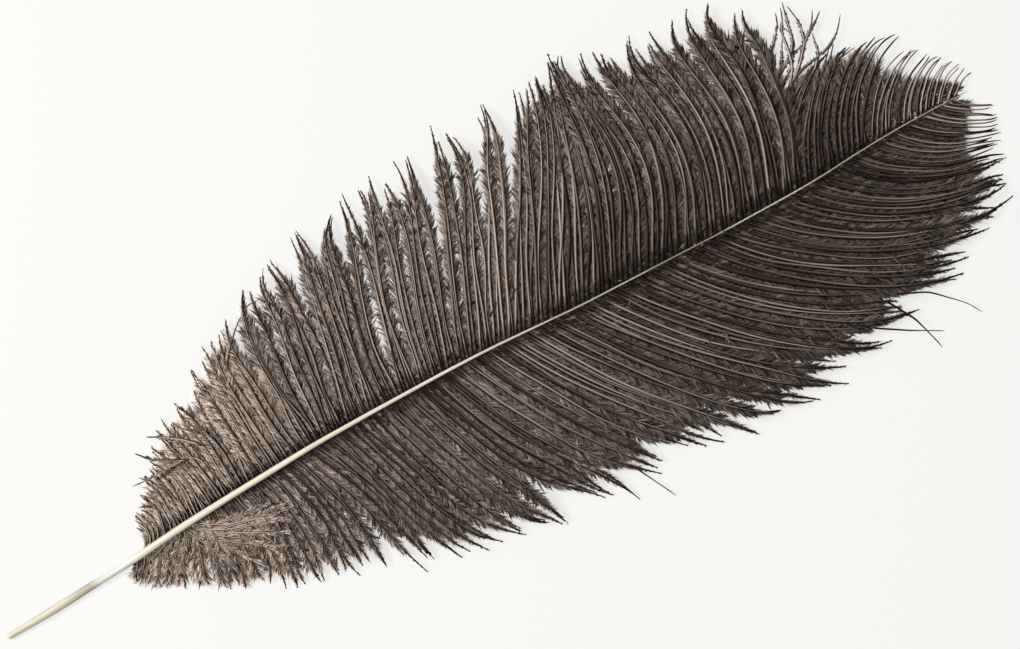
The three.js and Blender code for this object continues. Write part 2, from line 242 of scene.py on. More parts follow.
# Each vane or group: its barbs or lines, their traits, its wisps, how far it lies above the vane below
# it in millimetres, and how pale it is beside the others.
VANES = {
    "left": dict(barbs=LEFT_BARBS, traits=LEFT_TRAITS, wisps=LEFT_WISPS, above=1.2, pale=1.0, seed=11),
    "left_tip": dict(
        barbs=LEFT_TIP_BARBS, traits=LEFT_TIP_TRAITS, wisps=LEFT_TIP_WISPS, above=0.0, pale=1.0, seed=12,
    ),
    "right": dict(barbs=RIGHT_BARBS, traits=RIGHT_TRAITS, wisps=RIGHT_WISPS, above=0.0, pale=1.0, seed=13),
    "fan": dict(barbs=FAN_BARBS, traits=FAN_TRAITS, wisps=(), above=1.0, pale=1.3, seed=14),
    "tuft": dict(lines=TUFT_LINES, traits=TUFT_TRAITS, pale=1.25, seed=15),
    "loose": dict(lines=LOOSE_LINES, traits=LOOSE_TRAITS, pale=0.9, seed=16),
    "stray": dict(lines=STRAY_LINES, traits=STRAY_TRAITS, pale=0.8, seed=17),
}

# How barbs are made.
WAY_STEPS = 24  # lengths that a barb is made in
LENGTH_SPARE = 1.03  # a barb's length beside the table's, before its end is cut
MOST_CUT = 0.13  # share of a barb that is cut off its end at most
FARTHEST_DRAW = 12.0  # how far a barb's end is drawn at most to its wisp's, in millimetres
END_HEIGHT = 0.3  # least height of a barb's end above the table, in millimetres
STEM_SIDES, STEM_HEIGHT_SHARE = 3, 0.8

# A vane's slow bends, [wavelength along the shaft, share], and the degrees by which a share of 1 turns
# a barb's end.
RIPPLES = [(38.0, 0.25), (17.0, 0.3), (7.5, 0.4), (3.1, 0.3)]
RIPPLE_TURN = 6

# How far a barb strays by chance: on its own, together with those it clings to, and with its lock.
STRAYS = {
    # As shares of its length.
    "length": (0.05, 0.03, 0.03),
    # In degrees: all along, more and more towards its end, to and fro, and in its last fifth.
    "turn": (1.0, 1.5, 0.5),
    "outer_turn": (3.0, 3.0, 3.0),
    "bend": (4.0, 3.0, 0.0),
    "end_turn": (16.0, 16.0, 8.0),
    # In radians: where along the barb the bend to and fro begins.
    "bend_start": (0.5, 3.0, 0.0),
    # In millimetres: how high its end lies, and how much higher it runs from a quarter of the way on.
    "end_height": (0.5, 0.8, 1.0),
    "lift": (0.2, 0.5, 0.25),
}

# The layers of down. pitch is the length of barb for each barbule. begin is how far from the shaft's
# middle the layer begins beside the shaft's width, extra the share of barbules that go to the barb's
# foot, and until where along a barb's down the layer ends. leave is the barbule's angle to the barb and
# roll its turn round it, in degrees. length and width are its size, and tone says how pale it is. picked
# names the points it keeps, pattern how its faces run round them, and faces how many corners each has.
# Lengths are in millimetres.
DOWN_LAYERS = {
    "fine": dict(
        pitch=0.05, begin=0.5, extra=0.12, until=1.0, leave=42, roll=-38, length=6.0, width=0.16,
        tone=1.0, seed=200, picked=[0, 1, 4], pattern=[0, 1, 2], faces=[3],
    ),
    "curved": dict(
        pitch=1.5, begin=0.6, extra=0.0, until=0.7, leave=40, roll=-24, length=5.5, width=0.16,
        tone=1.05, seed=250, picked=[0, 1, 2, 3, 4], pattern=[0, 1, 3, 2, 2, 3, 4], faces=[4, 3],
    ),
    # Broad barbules deep in the down that fill its gaps, with a low tone that is painted shade of the deep
    # down.
    "shade_under": dict(
        pitch=0.12, begin=0.0, extra=0.2, until=0.88, leave=52, roll=-44, length=7.0, width=0.95,
        tone=0.12, seed=300, picked=[0, 3, 4], pattern=[0, 1, 2], faces=[3],
    ),
}

# How down is made.
BARB_FOOT = 6  # millimetres of a barb that take the extra barbules
NEAR_SHAFT = 8  # millimetres of a barb on which the barbules are shorter and stand out more
TUFT_LENGTH = 0.8  # millimetres of a barb whose barbules on one side lean alike
MOST_TRIANGLES = 180000  # of a piece

# A map's first place along a piece, and how far it runs.
MAP_START, MAP_SPAN = 0.01, 0.98

# A barbule's five points are its foot's two sides, its middle's two sides and its end. Which side each
# is on, its place along the barbule, and how far the map's U sets its sides apart.
POINT_SIDES = np.array([-1, 1, -1, 1, 0])
POINT_PLACES = np.array([0.01, 0.01, 0.55, 0.55, 0.99])
SIDE_STEP = 0.004

# How pale the down is along the feather, [x, tone], how wide the band of painted shade beside the
# shaft is, [x, millimetres], and its mottling, [size of the patches in millimetres, how much].
DOWN_TONES = [
    (70, 1.1), (130, 0.92), (160, 0.53), (200, 0.41), (260, 0.345), (330, 0.24), (400, 0.19), (500, 0.215),
]
SHAFT_SHADE_BANDS = [(70, 2.8), (150, 2.2), (210, 1.0)]
MOTTLING = [(30.0, 0.033), (13.0, 0.033), (5.0, 0.025)]
LEFT_EXTRA, LEFT_OUTER_EXTRA = 0.05, 0.07  # of tone on the left vane, and again in its outer part
LEAST_TONE, MOST_TONE = 0.02, 0.98

# Where the plan's origin lies in the row frame: x from the solid's first x, and y so that the solid's
# resting point, whose y in the plan is given here, lies where it rests.
REST_POINT = frame["record"]["mounts"][0]["pos_m"]
REST_PLACE_Y = 0.344
LEAST_HEIGHT = 0.02  # of any point above the table, in millimetres
PLAN_ORIGIN = np.array([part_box(NODE)[0].x, REST_POINT[1] - REST_PLACE_Y * MM, 0.0])


# ------------------------------------------------------------------ settings


class PlumeShaftSettings(bpy.types.PropertyGroup):
    """The quill and the shaft."""

    horn: bpy.props.FloatVectorProperty(
        name="Horn", description="Colour of the shaft between the vanes",
        subtype="COLOR", size=3, min=0, max=1, default=(0.585, 0.525, 0.42),
    )
    quill: bpy.props.FloatVectorProperty(
        name="Quill", description="Colour of the bare quill",
        subtype="COLOR", size=3, min=0, max=1, default=(0.47, 0.44, 0.328),
    )
    clear: bpy.props.FloatVectorProperty(
        name="Clear horn", description="Colour of the milky stretch below the vanes",
        subtype="COLOR", size=3, min=0, max=1, default=(0.55, 0.55, 0.485),
    )
    stain: bpy.props.FloatVectorProperty(
        name="Stain", description="Colour of the fleck where the quill ends",
        subtype="COLOR", size=3, min=0, max=1, default=(0.16, 0.11, 0.07),
    )


class PlumeVaneSettings(bpy.types.PropertyGroup):
    """The barbs and the down on them."""

    spacing: bpy.props.FloatProperty(
        name="Barb spacing", description="Distance from barb to barb beside the plan's",
        default=1.0, min=0.5, max=5,
    )
    stem_width: bpy.props.FloatProperty(
        name="Stem width", description="Width of the barbs' stems beside the plan's",
        default=1.0, min=0.2, max=2,
    )
    down_length: bpy.props.FloatProperty(
        name="Down length", description="Length of the barbules beside the plan's",
        default=1.0, min=0.2, max=2,
    )
    down_density: bpy.props.FloatProperty(
        name="Down density", description="Number of barbules beside the plan's",
        default=1.0, min=0.05, max=2,
    )
    dark: bpy.props.FloatVectorProperty(
        name="Dark", description="Colour of the stems and of the barbules' feet",
        subtype="COLOR", size=3, min=0, max=1, default=(0.020, 0.012, 0.0075),
    )
    light: bpy.props.FloatVectorProperty(
        name="Light", description="Colour of the barbules' ends in the palest down",
        subtype="COLOR", size=3, min=0, max=1, default=(0.97, 0.785, 0.655),
    )


class PlumeStageSettings(bpy.types.PropertyGroup):
    """The table top, the lamps and the camera."""

    floor: bpy.props.FloatVectorProperty(
        name="Floor", description="Colour of the table top",
        subtype="COLOR", size=3, min=0, max=1, default=(0.882, 0.8744, 0.8561),
    )
    floor_glow: bpy.props.FloatProperty(
        name="Floor glow", description="Share of the floor's brightness that needs no lamp",
        subtype="FACTOR", default=0.83, min=0, max=1,
    )
    sky: bpy.props.FloatProperty(
        name="Sky", description="Strength of the even light from all round", default=0.475, min=0,
    )
    lamp: bpy.props.FloatProperty(
        name="Lamp", description="Power of the soft lamp", subtype="POWER", unit="POWER",
        default=50.0, min=0,
    )
    distance: bpy.props.FloatProperty(
        name="Camera distance", description="Height of the camera above the table",
        subtype="DISTANCE", unit="LENGTH", default=3.0, min=0.5,
    )


# ------------------------------------------------------------------ plan to space


def read_table(rows, x, column=1):
    """The value at x of a table whose rows start with x, straight between rows."""
    table = np.asarray(rows, float)
    return np.interp(x, table[:, 0], table[:, column])


def rise(value, begin, end):
    """0 at begin and before it, 1 at end and past it, and 3 s^2 - 2 s^3 at the share s of the way
    between. Where end is less than begin, it rises as the value falls."""
    s = np.clip((value - begin) / (end - begin), 0, 1)
    return s * s * (3 - 2 * s)


def read_eased(rows, x, reach):
    """A table's value at x: the mean of nine places from x less the reach to x plus the reach."""
    places = np.add.outer(np.asarray(x, float), np.linspace(-reach, reach, 9))
    return read_table(rows, places).mean(-1)


def shaft_y(x):
    """The shaft's y at x, from the plan's line with its corners eased."""
    return read_eased(SHAFT_LINE, x, LINE_EASE)


def shaft_middle(x):
    """Height of the shaft's centre at x: its eased lift and half its depth."""
    return read_eased(SHAFT_LIFT, x, LIFT_EASE) + read_table(SHAFT_WIDTH, x) * SHAFT_DEPTH_SHARE / 2


def placed(points):
    """Plan points in millimetres as points of the row frame in metres, all of them above the table."""
    points = np.array(points, float)
    points[..., 2] = np.maximum(points[..., 2], LEAST_HEIGHT)
    return points * MM + PLAN_ORIGIN


def trait(vane, name, roots):
    """A trait of the barbs with these roots on the shaft."""
    return read_table(vane["traits"], roots, TRAITS.index(name))


def unit(vectors):
    """Each vector over its own length."""
    return vectors / np.maximum(np.linalg.norm(vectors, axis=-1, keepdims=True), 1e-12)


def through_four(t):
    """Weights of the values at 0, 1/3, 2/3 and 1 in the cubic through them, at each t: for each value,
    the product of t's distances to the other three, over what that product is at its own place."""
    p, q, r = 3 * t - 1, 3 * t - 2, 3 * t - 3
    return np.stack([-p * q * r / 6, 3 * t * q * r / 2, -3 * t * p * r / 2, 3 * t * p * q / 6])


def ripple(roots, t, seed):
    """A smooth wander in degrees that neighbours share: a sum of sines of the root and of t, growing
    with t."""
    rng = np.random.default_rng(seed)
    total = np.zeros((len(roots), len(t)))
    for wave, share in RIPPLES:
        turn, bend = rng.uniform(0, 2 * np.pi), rng.uniform(2, 5)
        total += share * np.sin(roots[:, None] * 2 * np.pi / wave + bend * t[None, :] + turn)
    return total * RIPPLE_TURN * t[None, :]


def joined(groups, roots, size, rng):
    """Larger groups made of whole neighbouring groups: each group moves on by its share of a larger
    one, more or less by chance, and those that come to lie between the same whole numbers join."""
    firsts = np.flatnonzero(np.diff(groups, prepend=-1))
    held = np.diff(np.append(firsts, len(groups)))
    moved = np.cumsum(held * rng.uniform(0.3, 1.7, len(firsts)) / size(roots[firsts]))
    return np.unique(np.floor(moved), return_inverse=True)[1][groups]


def group_means(values, groups):
    """For each barb, the mean of the values of its group's barbs."""
    starts = np.flatnonzero(np.diff(groups, prepend=-1))
    sizes = np.diff(np.append(starts, len(groups)))
    means = np.add.reduceat(values, starts, axis=0) / sizes.reshape(-1, *[1] * (values.ndim - 1))
    return np.repeat(means, sizes, axis=0)


def traced_ways(vane):
    """The ways along a group's lines, as barb_ways gives them: even steps along each line, at heights
    that run straight from the first to the last. Each step's point is then three times replaced by the
    mean of itself, counted twice, and its two neighbours."""
    t = np.linspace(0, 1, WAY_STEPS + 1)
    ways = np.zeros((len(vane["lines"]), WAY_STEPS + 1, 3))
    for way, (first, last, line) in zip(ways, vane["lines"]):
        line = np.asarray(line, float)
        walked = np.append(0, np.cumsum(np.linalg.norm(np.diff(line, axis=0), axis=1)))
        way[:, 0], way[:, 1] = (np.interp(t * walked[-1], walked, line[:, axis]) for axis in (0, 1))
        way[:, 2] = first + (last - first) * t
    for _ in range(3):
        ways[:, 1:-1] = (ways[:, :-2] + 2 * ways[:, 1:-1] + ways[:, 2:]) / 4
    return ways, ways[:, 0, 0], np.ones(len(ways))


def barb_ways(vane, spacing):
    """The barbs' centre lines as points (barb, step, xyz) in plan millimetres, with their roots and the
    share of its full length that each has.

    A barb's heading follows the vane's table, with strays that grow towards its end, and its plan is
    the running sum of strides along that heading. Its height falls from the shaft to the table with the
    square of t, under an arch. Twos and threes of barbs then cling together from near the shaft on, the
    barbs of a lock are drawn towards the mean of their ways, and the ends towards the nearest wisp's.
    Last, a chance share is cut off each end."""
    if "lines" in vane:
        return traced_ways(vane)
    rng = np.random.default_rng(vane["seed"])

    # The roots, a gap apart give or take a third, with the barbs that cling together and their locks.
    rows = np.asarray(vane["barbs"], float)
    x = np.linspace(rows[0, 0], rows[-1, 0], 500)
    gaps = trait(vane, "gap", x) * spacing
    passed = np.append(0, np.cumsum(np.diff(x) / gaps[1:]))
    count = int(passed[-1])
    roots = np.interp(np.arange(count) + rng.uniform(-0.3, 0.3, count), passed, x)
    t = np.linspace(0, 1, WAY_STEPS + 1)
    mid = (t[1:] + t[:-1]) / 2
    pairs = joined(np.arange(count), roots, lambda x: trait(vane, "cling", x), rng)
    locks = joined(pairs, roots, lambda x: trait(vane, "lock", x), rng)

    def stray(kind):
        """How far each barb strays in one way."""
        own, paired, shared = STRAYS[kind]
        return (
            rng.uniform(-own, own, count) + rng.uniform(-paired, paired, count)[pairs]
            + rng.uniform(-shared, shared, count)[locks]
        )

    # The headings, and the plan that they lead to.
    waver = trait(vane, "waver", roots)[:, None]
    length = read_table(rows, roots, 1) * (LENGTH_SPARE + stray("length"))
    headings = np.stack([read_table(rows, roots, column) for column in (2, 3, 4, 5)], 1)
    heading = headings @ through_four(mid) + waver * ripple(roots, mid, vane["seed"])
    heading += waver * stray("turn")[:, None]
    heading += waver * stray("outer_turn")[:, None] * rise(mid, 0.35, 1)
    bends = waver * stray("bend")[:, None]
    beats = rng.uniform(7, 16, count)[pairs][:, None]
    heading += bends * np.sin(mid * beats + stray("bend_start")[:, None])
    heading += stray("end_turn")[:, None] * rise(mid, 0.78, 0.98)
    stride = (length / WAY_STEPS)[:, None]
    angle = np.radians(heading)
    ways = np.zeros((count, WAY_STEPS + 1, 3))
    ways[:, 0, 0] = roots
    ways[:, 0, 1] = shaft_y(roots)
    ways[:, 1:, 0] = roots[:, None] + np.cumsum(np.cos(angle) * stride, 1)
    ways[:, 1:, 1] = ways[:, :1, 1] + np.cumsum(np.sin(angle) * stride, 1)

    # The heights.
    start = shaft_middle(roots) - read_table(SHAFT_WIDTH, roots) * rng.uniform(0.1, 0.3, count)
    end = END_HEIGHT + np.abs(stray("end_height"))
    arch = 4 * ARCH_SHARE * length[:, None] * t * (1 - t)
    ways[:, :, 2] = start[:, None] + (end - start)[:, None] * t**2 + arch
    own_lift = vane["above"] + waver[:, 0] * stray("lift")
    ways[:, :, 2] += own_lift[:, None] * rise(t, 0, 0.25) * (1 - 0.5 * t)

    def gather(groups, share, begin, end):
        """Draw each group's barbs towards the group's mean way by this share, between these t."""
        pull = share[:, None] * rise(t, begin[:, None], end[:, None])
        ways[:, :, :2] += (group_means(ways, groups) - ways)[:, :, :2] * pull[:, :, None]

    # Clinging together, drawing together and cutting.
    begin = rng.uniform(-0.1, 0.12, count)[pairs]
    gather(pairs, rng.uniform(0.6, 0.95, count)[pairs], begin, begin + 0.25)
    draw = trait(vane, "draw", roots)
    begin = 0.85 - 0.6 * group_means(draw, locks) + rng.uniform(-0.12, 0.12, count)[locks]
    gather(locks, draw * rng.uniform(0.6, 1.3, count)[locks], begin, np.ones(count))
    if len(vane["wisps"]):
        draw_to_wisps(ways, vane, roots, t, rng)
    cut = 1 - rng.uniform(0, MOST_CUT, count)
    at = np.clip(cut[:, None] * t * WAY_STEPS, 0, WAY_STEPS - 1e-6)
    low = at.astype(int)
    barb = np.arange(count)[:, None]
    share = (at - low)[:, :, None]
    return ways[barb, low] * (1 - share) + ways[barb, low + 1] * share, roots, cut


def draw_to_wisps(ways, vane, roots, t, rng):
    """Bend each barb's outer part towards the end of its nearest wisp, more and more towards its tip."""
    ends, wisps = ways[:, -1, :2], np.asarray(vane["wisps"], float)
    nearest = wisps[np.linalg.norm(ends[:, None] - wisps, axis=2).argmin(1)]
    shift = nearest - ends
    shift *= np.minimum(1, FARTHEST_DRAW / np.maximum(np.linalg.norm(shift, axis=1), 1e-9))[:, None]
    share = trait(vane, "wisp_pull", roots) * rng.uniform(0.8, 1.2, len(roots))
    begin = trait(vane, "wisp_from", roots) + rng.uniform(-0.1, 0.1, len(roots))
    pull = share[:, None] * rise(t, begin[:, None], 1.1)
    ways[:, :, :2] += shift[:, None] * pull[:, :, None]


def along(ways, barb, t):
    """Points and unit tangents of the barbs with these numbers at these t, straight between steps."""
    at = np.clip(t, 0, 0.9999) * WAY_STEPS  # the last point still lies in the last step
    low = at.astype(int)
    share = (at - low)[:, None]
    first, second = ways[barb, low], ways[barb, low + 1]
    return first + (second - first) * share, unit(second - first)


# ------------------------------------------------------------------ meshes


def new_piece(name, points, corners, counts, uv, material):
    """A mesh piece from points in millimetres, with its faces' corners in one row after another, how
    many corners each face has, and a map place for each corner."""
    mesh = bpy.data.meshes.new(name)
    mesh.vertices.add(len(points))
    mesh.vertices.foreach_set("co", placed(points).astype(np.float32).ravel())
    mesh.loops.add(len(corners))
    mesh.loops.foreach_set("vertex_index", corners.astype(np.int32))
    mesh.polygons.add(len(counts))
    mesh.polygons.foreach_set("loop_start", (np.cumsum(counts) - counts).astype(np.int32))
    mesh.update(calc_edges=True)
    layer = mesh.uv_layers.new(name=UV_NAME)
    layer.uv.foreach_set("vector", uv.astype(np.float32).ravel())
    mesh.materials.append(material)
    mesh.validate()
    piece = bpy.data.objects.new(name, mesh)
    bpy.context.scene.collection.objects.link(piece)
    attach(piece, "root")
    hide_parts(NODE)
    return piece


def tube_faces(strands, rings, sides):
    """Corners of the quads of many closed tubes: ring r's side s meets ring r + 1's, and the last side
    meets the first. Returned as (strand, ring, side, corner)."""
    strand = np.arange(strands)[:, None, None] * rings * sides
    ring = np.arange(rings - 1)[None, :, None] * sides
    side = np.arange(sides)[None, None, :]
    after = (side + 1) % sides
    base = strand + ring
    return np.stack([base + side, base + after, base + sides + after, base + sides + side], -1)


def tubes(ways, radii, sides, squash):
    """Many tubes round their ways: each ring is a circle of the radius there, across the way, with its
    height times squash and its first point on top. Returns points and corners."""
    forward = unit(np.gradient(ways, axis=1))
    across = unit(np.cross(forward, [0.0, 0.0, 1.0]))
    up = np.cross(across, forward)
    turn = (np.arange(sides) / sides + 0.25) * 2 * np.pi
    ring = across[:, :, None] * np.cos(turn)[:, None] + up[:, :, None] * np.sin(turn)[:, None] * squash
    points = ways[:, :, None] + ring * radii[:, :, None, None]
    strands, rings = ways.shape[:2]
    corners = tube_faces(strands, rings, sides)
    return points.reshape(-1, 3), corners[..., ::-1]


# ------------------------------------------------------------------ materials


def new_material(name):
    """An empty material with its shader, and a helper that adds a node with its inputs set."""
    material = bpy.data.materials.new(name)
    material.use_nodes = True
    tree = material.node_tree
    shader = tree.nodes["Principled BSDF"]

    def add(kind, inputs=None, **settings):
        node = tree.nodes.new(kind)
        for key, value in settings.items():
            setattr(node, key, value)
        for key, value in (inputs or {}).items():
            if isinstance(value, bpy.types.NodeSocket):
                tree.links.new(value, node.inputs[key])
            else:
                node.inputs[key].default_value = value
        return node

    return material, shader, tree, add


def ramp(add, value, stops):
    """A colour ramp read at value, straight between its stops, which are (place, colour)."""
    node = add("ShaderNodeValToRGB", {"Fac": value})
    elements = node.color_ramp.elements
    elements[0].position, elements[1].position = stops[0][0], stops[-1][0]
    elements[0].color, elements[1].color = (*stops[0][1], 1), (*stops[-1][1], 1)
    for place, colour in stops[1:-1]:
        elements.new(place).color = (*colour, 1)
    return node.outputs["Color"]


def multiplied(add, colour, factor, share):
    """A colour times another, by this share of the way."""
    inputs = {"Factor": share, "A": colour, "B": factor}
    return add("ShaderNodeMix", inputs, data_type="RGBA", blend_type="MULTIPLY").outputs["Result"]


def own_map(add):
    """The piece's own map as its two sockets: tone or turn across, and place along."""
    own = add("ShaderNodeUVMap", uv_map=UV_NAME)
    parts = add("ShaderNodeSeparateXYZ", {"Vector": own.outputs["UV"]})
    return parts.outputs["X"], parts.outputs["Y"]


def mixed(first, second, share):
    """The colour that lies this share of the way from the first to the second."""
    return tuple(a + (b - a) * share for a, b in zip(first, second))


def down_material(settings):
    """Down: dark at a barbule's foot and pale at its end, and darker or paler by its tone."""
    material, shader, tree, add = new_material("down")
    tone, place = own_map(add)
    dark, light = tuple(settings.dark), tuple(settings.light)
    body = ramp(add, place, [
        (0.0, mixed(dark, light, 0.02)), (0.15, mixed(dark, light, 0.06)), (0.4, mixed(dark, light, 0.6)),
        (0.65, mixed(dark, light, 0.95)), (1.0, light),
    ])
    strength = ramp(add, tone, [
        (0.0, (0.032, 0.029, 0.027)), (0.5, (0.48, 0.47, 0.465)), (1.0, (1.0, 1.0, 1.0)),
    ])
    tree.links.new(multiplied(add, body, strength, 1.0), shader.inputs["Base Color"])
    rough = add("ShaderNodeMapRange", {"Value": place, "To Min": 0.7, "To Max": 0.9})
    tree.links.new(rough.outputs["Result"], shader.inputs["Roughness"])
    shader.inputs["Specular IOR Level"].default_value = 0.03
    return material


def stem_material(settings):
    """The barbs' stems: dark horn, from near-black painted shade on their shaded side to a pale grey-brown
    painted highlight on their lit side, with a faint gloss."""
    material, shader, tree, add = new_material("stem")
    tone, place = own_map(add)
    dark, light = tuple(settings.dark), tuple(settings.light)
    black = (0, 0, 0)
    # U up to 0.45 is painted shade, near black; above it is a painted highlight.
    body = ramp(add, tone, [
        (0.0, mixed(dark, black, 0.6)), (0.3, mixed(dark, black, 0.3)), (0.45, mixed(dark, light, 0.04)),
        (0.6, mixed(dark, light, 0.27)), (0.85, mixed(dark, light, 0.5)), (1.0, mixed(dark, light, 0.75)),
    ])
    tree.links.new(body, shader.inputs["Base Color"])
    rough = add("ShaderNodeMapRange", {"Value": place, "To Min": 0.5, "To Max": 0.7})
    tree.links.new(rough.outputs["Result"], shader.inputs["Roughness"])
    shader.inputs["Specular IOR Level"].default_value = 0.05
    return material


def horn_material(settings):
    """Horn: beige at the quill, a brown fleck, a milky stretch, then cream between the vanes and
    greyer towards the tip, with fine streaks along it."""
    material, shader, tree, add = new_material("horn")
    place = own_map(add)[1]
    colours = settings.horn, settings.quill, settings.clear, settings.stain
    horn, quill, clear, stain = (tuple(colour) for colour in colours)
    middle, dim = mixed(horn, stain, 0.45), mixed(horn, stain, 0.8)
    body = ramp(add, place, [
        (0.0, mixed(quill, stain, 0.35)), (0.012, quill), (0.07, mixed(quill, horn, 0.1)),
        (0.088, mixed(quill, stain, 0.3)), (0.1, mixed(quill, stain, 0.45)), (0.108, clear), (0.14, clear),
        (0.155, mixed(clear, horn, 0.8)), (0.2, horn), (0.47, horn), (0.54, mixed(horn, stain, 0.2)),
        (0.59, middle), (0.66, middle), (0.675, dim), (0.73, dim), (0.75, mixed(horn, stain, 0.3)),
        (0.81, mixed(horn, stain, 0.3)), (0.84, mixed(horn, stain, 0.6)), (1.0, mixed(horn, stain, 0.6)),
    ])
    spots = add("ShaderNodeTexCoord").outputs["Object"]
    stretched = add("ShaderNodeMapping", {"Vector": spots, "Scale": (60.0, 1800.0, 1800.0)})
    streaks = add("ShaderNodeTexNoise", {"Vector": stretched.outputs["Vector"], "Scale": 1.0, "Detail": 4.0})
    veins = ramp(add, streaks.outputs["Fac"], [(0.3, (0.78, 0.76, 0.72)), (0.62, (1.0, 1.0, 1.0))])
    tree.links.new(multiplied(add, body, veins, 0.8), shader.inputs["Base Color"])
    rough = add("ShaderNodeMapRange", {"Value": streaks.outputs["Fac"], "To Min": 0.3, "To Max": 0.5})
    tree.links.new(rough.outputs["Result"], shader.inputs["Roughness"])
    bump = add("ShaderNodeBump", {"Height": streaks.outputs["Fac"], "Strength": 0.25, "Distance": 0.0002})
    tree.links.new(bump.outputs["Normal"], shader.inputs["Normal"])
    shader.inputs["Subsurface Weight"].default_value = 0.15
    shader.inputs["Subsurface Scale"].default_value = 0.001
    return material


def floor_material(settings):
    """The table top: mostly even brightness, so that shadows on it stay faint."""
    material, shader, tree, add = new_material("table_top")
    colour = (*settings.floor, 1)
    shader.inputs["Base Color"].default_value = colour
    shader.inputs["Roughness"].default_value = 0.9
    shader.inputs["Specular IOR Level"].default_value = 0.0
    glow = add("ShaderNodeEmission", {"Color": colour})
    blend = add("ShaderNodeMixShader", {"Fac": settings.floor_glow})
    tree.links.new(shader.outputs["BSDF"], blend.inputs[1])
    tree.links.new(glow.outputs["Emission"], blend.inputs[2])
    tree.links.new(blend.outputs["Shader"], tree.nodes["Material Output"].inputs["Surface"])
    return material


def kept_material(make, name, settings):
    """The material of that name, made once."""
    return bpy.data.materials.get(name) or make(settings)


# ------------------------------------------------------------------ pieces


def shaft_rings():
    """The shaft's outline as (x, radius): the quill's end, rings with half the table's width every one
    or two millimetres, and the tip."""
    x = np.concatenate([np.linspace(3, 75, 60), np.linspace(76, 494, 300)])
    body = np.stack([x, read_table(SHAFT_WIDTH, x) / 2], 1)
    return np.concatenate([QUILL_END, body, SHAFT_TIP])


def make_shaft(settings):
    """The quill and shaft as rings along the plan's line: ovals a little lower than they are wide, whose
    radius waves by a hundredth. A small face closes each end. The map's U is the turn round the shaft
    and its V the length along the outline."""
    sides = SHAFT_SIDES
    x, radius = shaft_rings().T
    centre = np.stack([x, shaft_y(x), shaft_middle(np.maximum(x, 3.0))], 1)  # the cut end stays level
    turn = np.arange(sides) / sides * 2 * np.pi
    wave = 1 + WAVE_SHARE * np.sin(x / WAVE_RADIAN)[:, None] * np.cos(WAVE_CRESTS * turn)[None, :]
    out = radius[:, None] * wave
    points = np.repeat(centre[:, None], sides, 1)
    points[:, :, 1] += out * np.cos(turn)
    points[:, :, 2] += out * np.sin(turn) * SHAFT_DEPTH_SHARE
    corners = tube_faces(1, len(x), sides)[0]
    length = np.cumsum(np.append(0, np.hypot(np.diff(x), np.diff(radius))))
    v = MAP_START + MAP_SPAN * length / length[-1]
    ring = np.arange(len(x) - 1)[:, None, None]
    side = np.arange(sides)[None, :, None]
    u = (side + np.array([0, 1, 1, 0])) / sides + 0 * ring
    uv = np.stack([u, v[ring + np.array([0, 0, 1, 1])] + 0 * side], -1)
    first, last = np.arange(sides), (np.arange(sides) + (len(x) - 1) * sides)[::-1]
    corners = np.concatenate([corners[..., ::-1].reshape(-1), first, last])
    counts = np.concatenate([np.full((len(x) - 1) * sides, 4), [sides, sides]])
    caps = np.stack([np.tile(np.arange(sides) / sides, 2), np.repeat([v[0], v[-1]], sides)], 1)
    uv = np.concatenate([uv[..., ::-1, :].reshape(-1, 2), caps])
    material = kept_material(horn_material, "horn", settings)
    piece = new_piece("quill_and_shaft", points.reshape(-1, 3), corners, counts, uv, material)
    piece.data.polygons.foreach_set("use_smooth", np.ones(len(counts), bool))


def make_barbs(name, vane, settings):
    """The stems of a vane's barbs: three-sided tubes with one edge on top. The map's U is the tone, from
    painted shade on one lower edge to a painted highlight on the other, and its V the place along the stem."""
    ways, roots, cut = barb_ways(vane, settings.spacing)
    rng = np.random.default_rng(vane["seed"] + 100)
    t = np.linspace(0, 1, WAY_STEPS + 1)
    full = trait(vane, "stem", roots) * settings.stem_width / 2 * rng.uniform(0.8, 1.2, len(roots))
    # Full for a third of the length, then thinner, with a pointed end and a narrow foot.
    thin = 1.15 - 0.55 * rise(t, 0.35, 0.8)
    thin *= (1 - 0.6 * rise(t, 0.93, 1)) * (1 - 0.4 * rise(t, 0.05, 0))
    points, corners = tubes(ways, full[:, None] * thin[None, :], STEM_SIDES, STEM_HEIGHT_SHARE)
    strands, bands, sides = corners.shape[:3]
    # Tones: a painted highlight on one lower edge, which fades towards the tip and the foot, and in the
    # foot's half of the outer barbs, painted shade on the other lower edge, and the top edge between them.
    pale = trait(vane, "lit", roots) * rng.uniform(0.7, 1.25, strands)
    fades = 1 - 0.6 * rise(t[None, :] * cut[:, None], 0.7, 0.98) - 0.5 * rise(t, 0.09, 0.01)
    fades *= 1 - 0.12 * rise(roots[:, None], 250, 310) * rise(t, 0.55, 0.3)
    lit = np.clip(pale[:, None] * fades, 0.2, MOST_TONE)
    # Painted shade on the stem's other lower edge; the top edge lies between it and the painted highlight by
    # the highlight's breadth.
    painted_shade = np.broadcast_to(rng.uniform(0.02, 0.15, strands)[:, None], lit.shape)
    highlight_breadth = trait(vane, "highlight_breadth", roots)[:, None]
    tone = np.stack([painted_shade + (lit - painted_shade) * highlight_breadth, lit, painted_shade], 2)
    ring = np.arange(bands)[None, :, None, None] + np.array([1, 1, 0, 0])
    side = (np.arange(sides)[None, None, :, None] + np.array([0, 1, 1, 0])) % sides
    u = tone[np.arange(strands)[:, None, None, None], ring + 0 * side, side + 0 * ring]
    uv = np.stack([u, np.broadcast_to(MAP_START + MAP_SPAN * ring / bands, u.shape)], -1)
    material = kept_material(stem_material, "stem", settings)
    counts = np.full(corners.size // 4, 4)
    piece = new_piece(
        name + "_barbs", points, corners.reshape(-1), counts, uv.reshape(-1, 2), material,
    )
    piece.data.polygons.foreach_set("use_smooth", np.ones(len(counts), bool))


